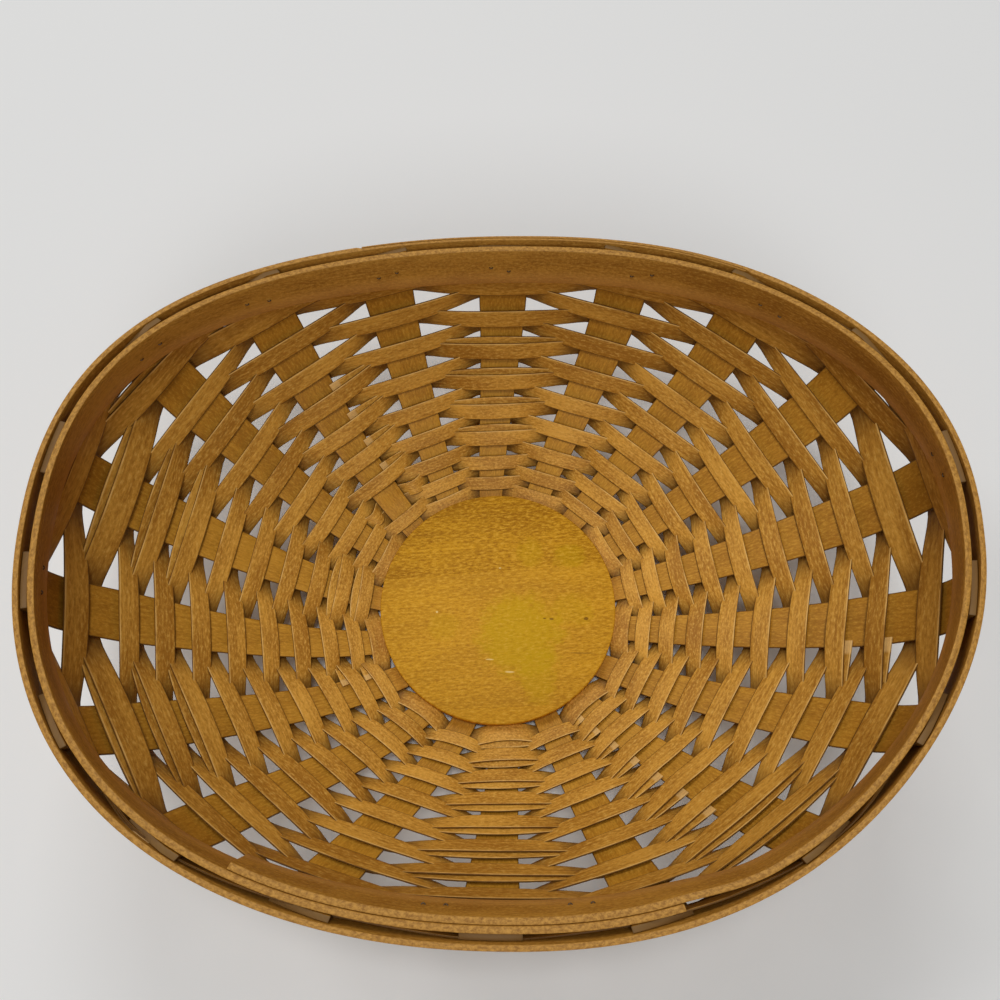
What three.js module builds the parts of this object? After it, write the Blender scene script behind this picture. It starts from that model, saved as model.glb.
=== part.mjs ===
// Oval basket woven from wood splints.
// Eighteen tapered spokes are clasped between two round boards and fan out from them.
// They bend up into the wall, and twenty weavers pass in front of one spoke and behind the next.
// Two bent bands clasp the spoke tops at the rim.
// Sizes are in millimetres and angles in degrees. Z is up, X lies along the long way of the rim,
// and the origin is at the centre of the underside.

import * as THREE from 'three';

// Rim, measured over the outer band
const rimHalfLength = 205.4;
const rimHalfWidth = 163.3;
// An exponent of 2 gives an ellipse and a larger one a squarer oval.
const rimExponent = 2.21;
const rimCentreX = 0.3;
const rimCentreY = 0.5;
const rimHeight = 125;
// The ends rise and the sides dip by this much, as a straight strip does when it is bent round.
const rimSaddle = 9.1;
// Outward lean of the bands from upright at the sides and at the ends
const sideLean = 17.2;
const endLean = -8.5;
// Unevenness of the hand-bent rim: turns of the wave, cosine share and sine share
const rimWaves = [
  [2, 0, 0.0133],
  [3, -0.0011, 0.0118],
  [5, 0.0056, 0.0013],
];

// Bands
const bandWidth = 20.4;
const outerBandThickness = 2.5;
const innerBandThickness = 2.9;
// The inner band laps over itself, and its cut end shows on the inside.
const innerLapStart = 233;
const innerLapEnd = 297;
// The outer band is scarfed: both ends taper over the length of the lap.
const outerLapStart = 50;
const outerLapEnd = 115;
const scarfTip = 0.7;
// Least turn between two bends of a band
const bandLeastTurn = 0.5;

// Boards
const boardRadius = 63.5;
const boardThickness = 6.1;
const boardEase = 0.6;
const footRadius = 48;
const footThickness = 3.1;
const rebateWidth = 11;
const boardFacets = 60;

// Spokes
const spokeThickness = 1.0;
const spokeWidth = 25;
const spokeFootWidth = 13;
const spokeTailWidth = 4;
const spokeTailRadius = 15;
// Length of the taper, measured up from the edge of the board
const spokeTaper = 130;
// Distance from the spoke tops down from the top of the bands
const spokeTrim = 0.5;
// Least length of spoke left above the last bend
const spokeTopRoom = 1;
// Plan angle of each spoke at the rim and at the board, where hand weaving has turned it
const spokeAtRim = [
  354.2, 11.3, 29.2, 47.7, 68.0, 90.2, 112.1, 132.9, 150.8,
  169.6, 187.1, 204.7, 223.4, 243.7, 270.0, 293.6, 317.2, 337.2,
];
const spokeAtBoard = [
  351.5, 10.7, 30.1, 51.4, 72.5, 94.8, 115.0, 136.7, 155.1,
  176.5, 198.1, 217.3, 237.7, 254.9, 274.3, 294.4, 311.9, 331.5,
];
// Share of the wall over which a spoke swings from the one angle to the other
const spokeSwing = 0.8;

// Weavers
const weaverCount = 20;
const weaverThickness = 0.8;
// Share of the space between rows that a weaver fills
const weaverFill = 0.93;
// The first seventeen rows close up toward the board and the last three are wide.
const narrowRows = 17;
// Centre line of the first row, measured up from the edge of the board
const firstRowAtEnd = 3.05;
const firstRowAtFarSide = -5.15;
const firstRowAtNearSide = 6.15;
// Centre line of the last row, measured down from the top of the wall
const lastRowAtEnd = 27.5;
const lastRowAtFarSide = 8.1;
const lastRowAtNearSide = 8.55;
// The shoulder is the place of the last narrow row as a share of the wall, and the growth is
// how much faster than evenly the narrow rows widen up to it.
const rowsAtEnd = { first: firstRowAtEnd, last: lastRowAtEnd, shoulder: 0.644, growth: 1.21 };
const rowsAtFarSide = {
  first: firstRowAtFarSide, last: lastRowAtFarSide, shoulder: 0.7375, growth: 1.27,
};
const rowsAtNearSide = {
  first: firstRowAtNearSide, last: lastRowAtNearSide, shoulder: 0.7765, growth: 1.07,
};
// Spokes on which the weavers lap, counted from one, for odd and even rows up to a given one
const laps = [
  { lastRow: 5, odd: 17, even: 12 },
  { lastRow: 13, odd: 17, even: 8 },
  { lastRow: weaverCount, odd: 1, even: 10 },
];
// The ends of the top row meet without a lap, which would not fit between the bands.
const topRowGap = 0.6;

// Wall
// Rise of the spokes where they leave the board
const footRise = 14;
// Reach of the curve's handles at the foot and below the bands
const footReach = 0.35;
const topReach = 0.26;

// Fits
const weaveClearance = 0.22;
const bandClearance = 0.3;
const boardClearance = 0.3;
const lapClearance = 0.3;

// Values that follow from the sizes
const weaveOffset = (spokeThickness + weaverThickness) / 2 + weaveClearance;
const bandGap = 2 * (weaveOffset + weaverThickness / 2 + bandClearance);
const wallInset = outerBandThickness + bandGap / 2;
const innerBandInset = outerBandThickness + bandGap;
const weavePlane = footThickness + boardClearance + spokeThickness / 2;
const spokeCount = spokeAtRim.length;

const degrees = THREE.MathUtils.degToRad;
const fullTurn = 2 * Math.PI;
const splintColour = 0xb8894e;
const bandColour = 0xc29558;
const boardColour = 0xcc9a55;

// Rim curve

function signedPower(value, exponent) {
  return Math.sign(value) * Math.abs(value) ** exponent;
}

function unevenness(t) {
  let size = 1;
  for (const [turns, cosine, sine] of rimWaves) {
    size += cosine * Math.cos(turns * t) + sine * Math.sin(turns * t);
  }
  return size;
}

function leanAt(t) {
  const mean = (endLean + sideLean) / 2;
  const swing = (endLean - sideLean) / 2;
  return degrees(mean + swing * Math.cos(2 * t));
}

// Point on the rim, at a depth inside its outer face and a distance down the bands
function rimPoint(t, inset, down) {
  const a = rimHalfLength - inset;
  const b = rimHalfWidth - inset;
  const c = Math.cos(t);
  const s = Math.sin(t);
  const size = unevenness(t);
  const outward = new THREE.Vector2(c * b, s * a).normalize();
  const drop = down * Math.sin(leanAt(t));
  return new THREE.Vector3(
    rimCentreX + a * signedPower(c, 2 / rimExponent) * size - drop * outward.x,
    rimCentreY + b * signedPower(s, 2 / rimExponent) * size - drop * outward.y,
    rimHeight + rimSaddle * Math.cos(2 * t) - down * Math.cos(leanAt(t)),
  );
}

// Rim parameter of the point midway between the bands that lies at a plan angle
function rimParameter(angle) {
  const passes = 40;
  const shareTaken = 0.7;
  let t = angle;
  for (let pass = 0; pass < passes; pass += 1) {
    const point = rimPoint(t, wallInset, 0);
    const error = angle - Math.atan2(point.y, point.x);
    t += shareTaken * Math.atan2(Math.sin(error), Math.cos(error));
  }
  return t;
}

// Wall surface

// Run of the wall in one upright plane: a curve up from the board and a straight clasped top
function wallRun(angle) {
  const t = rimParameter(angle);
  const out = new THREE.Vector3(Math.cos(angle), Math.sin(angle), 0);
  const foot = out.clone().multiplyScalar(boardRadius).setZ(weavePlane);
  const top = rimPoint(t, wallInset, 0);
  const below = rimPoint(t, wallInset, bandWidth);
  const reach = foot.distanceTo(below);
  const up = top.clone().sub(below).normalize();
  const rise = degrees(footRise);
  const leave = out.clone().multiplyScalar(Math.cos(rise)).setZ(Math.sin(rise));
  const curve = new THREE.CubicBezierCurve3(
    foot,
    foot.clone().addScaledVector(leave, footReach * reach),
    below.clone().addScaledVector(up, -topReach * reach),
    below,
  );
  const curveLength = curve.getLength();
  return { out, curve, curveLength, below, up, length: curveLength + bandWidth };
}

// Runs are kept by angle, to a ten-millionth of a radian.
const runs = new Map();
const keysPerRadian = 1e7;

function runAt(angle) {
  const key = Math.round(angle * keysPerRadian);
  if (!runs.has(key)) {
    runs.set(key, wallRun(angle));
  }
  return runs.get(key);
}

// Point of the wall at a distance up from the board and an offset to the inside.
// A negative distance lies under the board, where the splints are flat.
function wallPoint(angle, distance, offset) {
  const run = runAt(angle);
  let point;
  let along;
  if (distance < 0) {
    point = run.out.clone().multiplyScalar(boardRadius + distance).setZ(weavePlane);
    along = run.out;
  } else if (distance < run.curveLength) {
    const share = distance / run.curveLength;
    point = run.curve.getPointAt(share);
    along = run.curve.getTangentAt(share);
  } else {
    point = run.below.clone().addScaledVector(run.up, distance - run.curveLength);
    along = run.up;
  }
  const outward = along.x * run.out.x + along.y * run.out.y;
  const inside = run.out.clone().multiplyScalar(-along.z).setZ(outward);
  return point.addScaledVector(inside, offset);
}

// Spoke layout

function spokeAngle(index, distance) {
  const atRim = degrees(spokeAtRim[index]);
  const turned = degrees(spokeAtBoard[index] - spokeAtRim[index]);
  const swing = spokeSwing * runAt(atRim).length;
  const left = THREE.MathUtils.clamp(1 - distance / swing, 0, 1);
  return atRim + turned * left ** 2;
}

function spokeWidthAt(distance) {
  if (distance < 0) {
    const share = (boardRadius + distance - spokeTailRadius) / (boardRadius - spokeTailRadius);
    return THREE.MathUtils.lerp(spokeTailWidth, spokeFootWidth, share);
  }
  const share = Math.min(1, distance / spokeTaper);
  return THREE.MathUtils.lerp(spokeFootWidth, spokeWidth, share);
}

// Plan angle of one edge of a spoke, with side -1 or 1, or of its centre line with side 0
function spokeEdge(index, side, distance) {
  const angle = spokeAngle(index, distance);
  const point = wallPoint(angle, distance, 0);
  const radius = Math.hypot(point.x, point.y);
  return angle + side * Math.asin(spokeWidthAt(distance) / 2 / radius);
}

// Plan angle midway between a spoke and the next one
function gapAngle(index, distance) {
  const next = (index + 1) % spokeCount;
  const left = spokeEdge(index, 1, distance);
  const right = spokeEdge(next, -1, distance);
  const step = THREE.MathUtils.euclideanModulo(right - left, fullTurn);
  return left + step / 2;
}

// Row layout

function rowOfSide(row, side, length) {
  const shoulder = side.shoulder * length;
  if (row <= narrowRows) {
    const share = (row - 1) / (narrowRows - 1);
    return side.first + (shoulder - side.first) * share ** side.growth;
  }
  const share = (row - narrowRows) / (weaverCount - narrowRows);
  return THREE.MathUtils.lerp(shoulder, length - side.last, share);
}

// Distance of a row's centre line up from the board
function rowCentre(row, angle) {
  const { length } = runAt(angle);
  const far = Math.max(Math.sin(angle), 0) ** 2;
  const near = Math.max(-Math.sin(angle), 0) ** 2;
  const end = 1 - far - near;
  return end * rowOfSide(row, rowsAtEnd, length)
    + far * rowOfSide(row, rowsAtFarSide, length)
    + near * rowOfSide(row, rowsAtNearSide, length);
}

function rowWidth(row, angle) {
  const centre = rowCentre(row, angle);
  const below = row > 1 ? centre - rowCentre(row - 1, angle) : Infinity;
  const above = row < weaverCount ? rowCentre(row + 1, angle) - centre : Infinity;
  return weaverFill * Math.min(below, above);
}

// Solids

// Closed solid through a run of sections with as many corners each
function loft(sections) {
  const corners = sections[0].length;
  const positions = sections.flat().flatMap((point) => [point.x, point.y, point.z]);
  const indices = [];
  for (let i = 0; i + 1 < sections.length; i += 1) {
    for (let k = 0; k < corners; k += 1) {
      const here = i * corners + k;
      const beside = i * corners + (k + 1) % corners;
      indices.push(here, beside, beside + corners);
      indices.push(here, beside + corners, here + corners);
    }
  }
  const last = (sections.length - 1) * corners;
  for (let k = 1; k + 1 < corners; k += 1) {
    indices.push(0, k + 1, k);
    indices.push(last, last + k, last + k + 1);
  }
  const geometry = new THREE.BufferGeometry();
  geometry.setAttribute('position', new THREE.Float32BufferAttribute(positions, 3));
  geometry.setIndex(indices);
  geometry.computeVertexNormals();
  return geometry;
}

function turned(profile) {
  const outline = profile.map(([radius, height]) => new THREE.Vector2(radius, height));
  const geometry = new THREE.LatheGeometry(outline, boardFacets);
  geometry.rotateX(Math.PI / 2);
  return geometry;
}

const basket = new THREE.Group();
basket.name = 'oval_basket';

function addPiece(name, geometry, color) {
  const material = new THREE.MeshStandardMaterial({ color, roughness: 0.6, metalness: 0 });
  const mesh = new THREE.Mesh(geometry, material);
  mesh.name = name;
  basket.add(mesh);
}

// Boards

const boardUnder = weavePlane + spokeThickness / 2 + boardClearance;
const boardTop = boardUnder + boardThickness;
// The rebate leaves room for the first weavers, which tuck under the edge on the far side.
const rebateHeight = weavePlane + weaveOffset + weaverThickness / 2 + boardClearance;
addPiece('base_board', turned([
  [0, boardUnder],
  [boardRadius - rebateWidth, boardUnder],
  [boardRadius - rebateWidth, rebateHeight],
  [boardRadius, rebateHeight],
  [boardRadius, boardTop - boardEase],
  [boardRadius - boardEase, boardTop],
  [0, boardTop],
]), boardColour);
addPiece('foot_board', turned([
  [0, 0],
  [footRadius - boardEase, 0],
  [footRadius, boardEase],
  [footRadius, footThickness],
  [0, footThickness],
]), boardColour);

// Spokes

// A level runs round the wall: it gives a distance up from the board at each plan angle.
function rowLevel(row) {
  return (angle) => rowCentre(row, angle);
}

function betweenRows(row) {
  return (angle) => (rowCentre(row, angle) + rowCentre(row + 1, angle)) / 2;
}

function besideRow(row, neighbour) {
  return (angle) => rowCentre(row, angle) + (rowCentre(row, angle) - rowCentre(neighbour, angle)) / 2;
}

// Distance up a line on the wall at which it meets a level
function meeting(line, level) {
  const passes = 5;
  let distance = 0;
  for (let pass = 0; pass < passes; pass += 1) {
    distance = level(line(distance));
  }
  return distance;
}

// Levels at which a spoke bends: its ends, the spaces between the rows and the wide rows' middles
function spokeLevels(index) {
  const angle = degrees(spokeAtRim[index]);
  const tail = () => spokeTailRadius - boardRadius;
  const boardEdge = () => 0;
  const underFirst = besideRow(1, 2);
  const overLast = besideRow(weaverCount, weaverCount - 1);
  const top = (at) => runAt(at).length - spokeTrim;
  const levels = [tail];
  if (underFirst(angle) > 0) {
    levels.push(boardEdge);
  }
  levels.push(underFirst);
  for (let row = 1; row <= weaverCount; row += 1) {
    if (row > narrowRows) {
      levels.push(rowLevel(row));
    }
    if (row < weaverCount) {
      levels.push(betweenRows(row));
    }
  }
  if (overLast(angle) < top(angle) - spokeTopRoom) {
    levels.push(overLast);
  }
  levels.push(top);
  return levels;
}

function spokeSection(index, level) {
  const half = spokeThickness / 2;
  const [left, right] = [-1, 1].map((side) => {
    const line = (distance) => spokeEdge(index, side, distance);
    const distance = meeting(line, level);
    return { angle: line(distance), distance };
  });
  return [
    wallPoint(left.angle, left.distance, -half),
    wallPoint(right.angle, right.distance, -half),
    wallPoint(right.angle, right.distance, half),
    wallPoint(left.angle, left.distance, half),
  ];
}

function pieceName(kind, number) {
  return `${kind}_${String(number).padStart(2, '0')}`;
}

for (let index = 0; index < spokeCount; index += 1) {
  const sections = spokeLevels(index).map((level) => spokeSection(index, level));
  addPiece(pieceName('spoke', index + 1), loft(sections), splintColour);
}

// Weavers

// Section of a row where it crosses a line that runs up the wall
function weaverSection(row, line, offset) {
  const half = weaverThickness / 2;
  const shares = row > narrowRows ? [-0.5, 0, 0.5] : [-0.5, 0.5];
  const places = shares.map((share) => {
    const distance = meeting(line, (angle) => rowCentre(row, angle) + share * rowWidth(row, angle));
    return { angle: line(distance), distance };
  });
  const outside = places.map(({ angle, distance }) => wallPoint(angle, distance, offset - half));
  const inside = places.map(({ angle, distance }) => wallPoint(angle, distance, offset + half));
  return [outside[0], ...inside, ...outside.slice(1).reverse()];
}

function lapSpoke(row) {
  const lap = laps.find(({ lastRow }) => row <= lastRow);
  return (row % 2 ? lap.odd : lap.even) - 1;
}

// Rows pass in front of every second spoke, and neighbouring rows take turns.
function sideOfSpoke(row, index) {
  return (row + index) % 2 ? -1 : 1;
}

function weaverSections(row) {
  const start = lapSpoke(row);
  const lapped = weaveOffset + weaverThickness + lapClearance;
  const sections = [];
  const over = (index, offset) => {
    sections.push(weaverSection(row, (distance) => spokeEdge(index, -1, distance), offset));
    sections.push(weaverSection(row, (distance) => spokeEdge(index, 1, distance), offset));
  };
  for (let step = 0; step < spokeCount; step += 1) {
    const index = (start + step) % spokeCount;
    over(index, weaveOffset * sideOfSpoke(row, index + 1));
    sections.push(weaverSection(row, (distance) => gapAngle(index, distance), 0));
  }
  if (row < weaverCount) {
    over(start, lapped);
  } else {
    const radius = (rimHalfLength + rimHalfWidth) / 2;
    const shortOfStart = (distance) => spokeEdge(start, -1, distance) - topRowGap / radius;
    sections.push(weaverSection(row, shortOfStart, weaveOffset * sideOfSpoke(row, start + 1)));
  }
  return sections;
}

for (let row = 1; row <= weaverCount; row += 1) {
  addPiece(pieceName('weaver', row), loft(weaverSections(row)), splintColour);
}

// Bands

function bandSection(angle, outer, inner) {
  const t = rimParameter(angle);
  return [
    rimPoint(t, outer, bandWidth),
    rimPoint(t, inner, bandWidth),
    rimPoint(t, inner, 0),
    rimPoint(t, outer, 0),
  ];
}

// Plan angles at which the bands bend, from a starting angle round to an ending one
function bandStations(start, end, withCentres) {
  const marks = [];
  for (let index = 0; index < spokeCount; index += 1) {
    const { length } = runAt(degrees(spokeAtRim[index]));
    const sides = withCentres ? [-1, 0, 1] : [-1, 1];
    marks.push(...sides.map((side) => spokeEdge(index, side, length)));
    marks.push(gapAngle(index, length));
  }
  const least = degrees(bandLeastTurn);
  const stations = [start, end];
  for (const mark of marks) {
    const first = start + THREE.MathUtils.euclideanModulo(mark - start, fullTurn);
    for (let angle = first; angle < end - least; angle += fullTurn) {
      if (angle > start + least) {
        stations.push(angle);
      }
    }
  }
  return stations.sort((one, other) => one - other);
}

function innerBandSection(angle) {
  const start = degrees(innerLapStart);
  const end = degrees(innerLapEnd);
  const step = innerBandThickness + lapClearance;
  const inset = angle <= end ? innerBandInset + step : innerBandInset;
  return bandSection(angle, inset, inset + innerBandThickness);
}

addPiece('inner_band', loft(
  bandStations(degrees(innerLapStart), degrees(innerLapEnd) + fullTurn, false).map(innerBandSection),
), bandColour);

function outerBandSection(angle) {
  const start = degrees(outerLapStart);
  const lap = degrees(outerLapEnd - outerLapStart);
  const taper = outerBandThickness - 2 * scarfTip - lapClearance;
  if (angle - start <= lap) {
    const share = 1 - (angle - start) / lap;
    return bandSection(angle, scarfTip + lapClearance + taper * share, outerBandThickness);
  }
  if (angle - start >= fullTurn) {
    const share = 1 - (angle - start - fullTurn) / lap;
    return bandSection(angle, 0, scarfTip + taper * share);
  }
  return bandSection(angle, 0, outerBandThickness);
}

addPiece('outer_band', loft(
  bandStations(degrees(outerLapStart), degrees(outerLapEnd) + fullTurn, true).map(outerBandSection),
), bandColour);

export default basket;
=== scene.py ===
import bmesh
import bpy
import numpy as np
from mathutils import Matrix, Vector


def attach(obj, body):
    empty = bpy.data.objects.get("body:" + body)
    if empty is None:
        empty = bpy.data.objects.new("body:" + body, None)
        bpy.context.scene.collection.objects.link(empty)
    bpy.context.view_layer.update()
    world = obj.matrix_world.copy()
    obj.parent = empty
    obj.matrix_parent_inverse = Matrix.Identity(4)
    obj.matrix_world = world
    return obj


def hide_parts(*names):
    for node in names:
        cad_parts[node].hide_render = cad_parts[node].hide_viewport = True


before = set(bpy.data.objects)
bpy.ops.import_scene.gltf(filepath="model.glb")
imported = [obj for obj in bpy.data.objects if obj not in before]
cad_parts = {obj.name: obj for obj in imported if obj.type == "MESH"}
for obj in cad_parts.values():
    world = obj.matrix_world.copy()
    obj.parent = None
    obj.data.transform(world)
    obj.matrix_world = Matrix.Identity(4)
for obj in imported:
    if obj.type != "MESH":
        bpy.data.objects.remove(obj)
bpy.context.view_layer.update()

# Oval basket woven from wood splints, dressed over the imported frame.
# Every strip is a flat slab of unit size that is laid along the same wall as the solids follow.
# Boards, bands and spokes lie where their solids are. The rows of weavers keep to the wall, but lie
# up to 28 mm from their solids' rows along it, most of all on the far side.
# Sizes are in millimetres until a piece is made, which is in metres. Angles are given in degrees.

MILLIMETRE = 0.001
FULL_TURN = 2 * np.pi

# Rim, measured over the outer band
RIM_HALF_LENGTH = 205.4
RIM_HALF_WIDTH = 163.3
RIM_EXPONENT = 2.21
RIM_CENTRE = (0.3, 0.5)
# Mean height, how much higher the ends and lower the sides are, and how far the bands lean out
RIM_HEIGHT = 125
RIM_SADDLE = 9.1
SIDE_LEAN = 17.2
END_LEAN = -8.5
# Unevenness of the hand-bent rim: turns of the wave, cosine share and sine share
RIM_WAVES = ((2, 0, 0.0133), (3, -0.0011, 0.0118), (5, 0.0056, 0.0013))

# Bands
BAND_WIDTH = 20.4
OUTER_BAND_THICKNESS = 2.5
INNER_BAND_THICKNESS = 2.9
# Plan angles between which a band lies on itself
INNER_LAP = (233, 297)
OUTER_LAP = (50, 115)
# Thickness to which the ends of the outer band are thinned
SCARF_TIP = 0.7

# Boards
BOARD_RADIUS = 63.5
BOARD_THICKNESS = 6.1
BOARD_EASE = 0.8
FOOT_RADIUS = 48
FOOT_THICKNESS = 3.1
REBATE_WIDTH = 11

# Spokes
SPOKE_THICKNESS = 1.0
SPOKE_WIDTH = 25
SPOKE_FOOT_WIDTH = 13
SPOKE_TAIL_WIDTH = 4
SPOKE_TAIL_RADIUS = 15
# Distance up the wall over which a spoke widens, and how far under the rim it ends
SPOKE_TAPER = 130
SPOKE_TRIM = 2.2
# The end of a spoke is doubled between the bands, and is that much thicker
SPOKE_FOLD = 1.7
# Share of the wall over which a spoke swings from its place at the board to that at the rim
SPOKE_SWING = 0.8
# Plan angle of each spoke at the rim and at the board
SPOKE_AT_RIM = np.radians([
    354.2, 11.3, 29.2, 47.7, 68.0, 90.2, 112.1, 132.9, 150.8,
    169.6, 187.1, 204.7, 223.4, 243.7, 270.0, 293.6, 317.2, 337.2,
])
SPOKE_AT_BOARD = np.radians([
    351.5, 10.7, 30.1, 51.4, 72.5, 94.8, 115.0, 136.7, 155.1,
    176.5, 198.1, 217.3, 237.7, 254.9, 274.3, 294.4, 311.9, 331.5,
])
SPOKE_COUNT = len(SPOKE_AT_RIM)

# Weavers
WEAVER_COUNT = 20
WEAVER_THICKNESS = 0.8
NARROW_ROWS = 17
# Height of a row by its share of all rows: linear, square and cubic part
ROW_RISE = (78.6, 143.4, -60.8)
# Waves that the rows make round the basket: turns, then the cosine and sine parts that grow with
# the share of the rows and with its square
ROW_WAVES = ((1, -6.8, 4.3, 8.4, 3.6), (2, 1.8, 10.8, 0.2, -8.9), (3, 0, 0, 1.6, 2.3))
# On the near right the rows ride up: height, plan angle of the middle, spread, and the share of
# the rows from which they do so in full
RIDE_UP = 6.0
RIDE_UP_AT = np.radians(306)
RIDE_UP_SPREAD = np.radians(46)
RIDE_UP_FROM = 0.3
# The wide rows share what is left under the rim: space kept above them and least width
TOP_SPACE = 3.0
LEAST_WIDTH = 4.0
# The first row reaches under the edge of the board
FIRST_ROW_TUCK = 1.5
# Width of the first, the last narrow and the wide strips, and how fast they widen
STRIP_WIDTHS = (6.8, 10.7, 15.2)
STRIP_WIDENING = 0.55

# Each round brings a crossing of a spoke and a row nearer to its place
CROSSING_ROUNDS = 6

# Wall: how steeply it leaves the board, and how far its curve holds its direction at each end,
# as a share of the distance between them
FOOT_RISE = np.radians(14)
FOOT_REACH = 0.35
TOP_REACH = 0.26

# Fits
WEAVE_CLEARANCE = 0.22
BAND_CLEARANCE = 0.3
BOARD_CLEARANCE = 0.3
LAP_CLEARANCE = 0.3

WEAVE_OFFSET = (SPOKE_THICKNESS + WEAVER_THICKNESS) / 2 + WEAVE_CLEARANCE
BAND_GAP = 2 * (WEAVE_OFFSET + WEAVER_THICKNESS / 2 + BAND_CLEARANCE)
WALL_INSET = OUTER_BAND_THICKNESS + BAND_GAP / 2
INNER_BAND_INSET = OUTER_BAND_THICKNESS + BAND_GAP
WEAVE_PLANE = FOOT_THICKNESS + BOARD_CLEARANCE + SPOKE_THICKNESS / 2


# Rim curve

def unevenness(t):
    waves = (cosine * np.cos(turns * t) + sine * np.sin(turns * t) for turns, cosine, sine in RIM_WAVES)
    return 1 + sum(waves)


def lean_at(t):
    mean = (END_LEAN + SIDE_LEAN) / 2
    swing = (END_LEAN - SIDE_LEAN) / 2
    return np.radians(mean + swing * np.cos(2 * t))


def signed_power(value, exponent):
    return np.sign(value) * np.abs(value) ** exponent


def rim_point(t, inset, down):
    """Points on the rim, at a depth inside its outer face and a distance down the bands."""
    a = RIM_HALF_LENGTH - inset
    b = RIM_HALF_WIDTH - inset
    size = unevenness(t)
    normal = np.stack([np.cos(t) * b, np.sin(t) * a], -1)
    normal /= np.linalg.norm(normal, axis=-1, keepdims=True)
    drop = down * np.sin(lean_at(t))
    x = RIM_CENTRE[0] + a * signed_power(np.cos(t), 2 / RIM_EXPONENT) * size - drop * normal[..., 0]
    y = RIM_CENTRE[1] + b * signed_power(np.sin(t), 2 / RIM_EXPONENT) * size - drop * normal[..., 1]
    z = RIM_HEIGHT + RIM_SADDLE * np.cos(2 * t) - down * np.cos(lean_at(t))
    return np.stack([x, y, z], -1)


def plan_direction(angle):
    return np.stack([np.cos(angle), np.sin(angle), np.zeros_like(angle)], -1)


def rim_parameter(angle):
    """Rim parameter of the points midway between the bands that lie at plan angles."""
    steps = 6000
    margin = 0.5
    t = np.linspace(-margin, FULL_TURN + margin, steps)
    point = rim_point(t, WALL_INSET, 0)
    plan = np.unwrap(np.arctan2(point[:, 1], point[:, 0]))
    turns = np.floor(angle / FULL_TURN) * FULL_TURN
    return np.interp(angle - turns, plan, t) + turns


# Wall surface

class Wall:
    """The middle of the wall, kept as a grid of points by plan angle and by share of the height."""

    angles = 1440
    shares = 240
    curve_points = 161

    def __init__(self):
        angle = np.linspace(0, FULL_TURN, self.angles + 1)
        t = rim_parameter(angle[:-1])
        t = np.append(t, t[0] + FULL_TURN)
        top = rim_point(t, WALL_INSET, 0)
        below = rim_point(t, WALL_INSET, BAND_WIDTH)
        out = plan_direction(angle)
        foot = out * BOARD_RADIUS
        foot[:, 2] = WEAVE_PLANE
        reach = np.linalg.norm(foot - below, axis=1)[:, None]
        leave = out * np.cos(FOOT_RISE) + [0, 0, np.sin(FOOT_RISE)]
        handles = (
            foot + FOOT_REACH * reach * leave,
            below - TOP_REACH * reach * (top - below) / BAND_WIDTH,
        )
        u = np.linspace(0, 1, self.curve_points)[None, :, None]
        curve = (1 - u) ** 3 * foot[:, None] + 3 * (1 - u) ** 2 * u * handles[0][:, None]
        curve += 3 * (1 - u) * u ** 2 * handles[1][:, None] + u ** 3 * below[:, None]
        curve = np.concatenate([curve, top[:, None]], 1)
        steps = np.linalg.norm(np.diff(curve, axis=1), axis=2)
        distance = np.concatenate([np.zeros((len(angle), 1)), np.cumsum(steps, 1)], 1)
        self.angle = angle
        self.height = distance[:, -1]
        share = np.linspace(0, 1, self.shares + 1)
        self.points = np.array([
            [np.interp(share * line[-1], line, run[:, axis]) for axis in range(3)]
            for line, run in zip(distance, curve)
        ]).transpose(0, 2, 1)
        along = np.gradient(self.points, axis=1)
        self.along = along / np.linalg.norm(along, axis=2, keepdims=True)

    def length(self, angle):
        return np.interp(np.mod(angle, FULL_TURN), self.angle, self.height)

    def between(self, table, angle, share):
        x = np.mod(angle, FULL_TURN) / FULL_TURN * self.angles
        i = np.minimum(x.astype(int), self.angles - 1)
        f = (x - i)[..., None]
        y = np.clip(share, 0, 1) * self.shares
        j = np.minimum(y.astype(int), self.shares - 1)
        g = (y - j)[..., None]
        low = (1 - f) * table[i, j] + f * table[i + 1, j]
        high = (1 - f) * table[i, j + 1] + f * table[i + 1, j + 1]
        return (1 - g) * low + g * high

    def point(self, angle, distance, offset=0.0):
        """Points at a distance up from the board and an offset to the inside.
        A negative distance lies under the board, where the splints are flat."""
        angle, distance, offset = np.broadcast_arrays(
            np.asarray(angle, float), np.asarray(distance, float), np.asarray(offset, float))
        length = self.length(angle)
        out = plan_direction(angle)
        flat = (distance < 0)[..., None]
        base = out * (BOARD_RADIUS + distance)[..., None] + np.array([0, 0, WEAVE_PLANE])
        place = np.where(flat, base, self.between(self.points, angle, distance / length))
        along = np.where(flat, out, self.between(self.along, angle, distance / length))
        inside = -along[..., 2:3] * out
        inside[..., 2] = (along * out).sum(-1)
        return place + offset[..., None] * inside


wall = Wall()


# Spoke layout

def spoke_angle(index, distance):
    swing = SPOKE_SWING * wall.length(SPOKE_AT_RIM[index])
    left = np.clip(1 - distance / swing, 0, 1)
    return SPOKE_AT_RIM[index] + (SPOKE_AT_BOARD[index] - SPOKE_AT_RIM[index]) * left ** 2


def spoke_width(distance):
    under = (BOARD_RADIUS + distance - SPOKE_TAIL_RADIUS) / (BOARD_RADIUS - SPOKE_TAIL_RADIUS)
    tail = SPOKE_TAIL_WIDTH + (SPOKE_FOOT_WIDTH - SPOKE_TAIL_WIDTH) * under
    share = np.clip(distance / SPOKE_TAPER, 0, 1)
    return np.where(distance < 0, tail, SPOKE_FOOT_WIDTH + (SPOKE_WIDTH - SPOKE_FOOT_WIDTH) * share)


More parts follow.
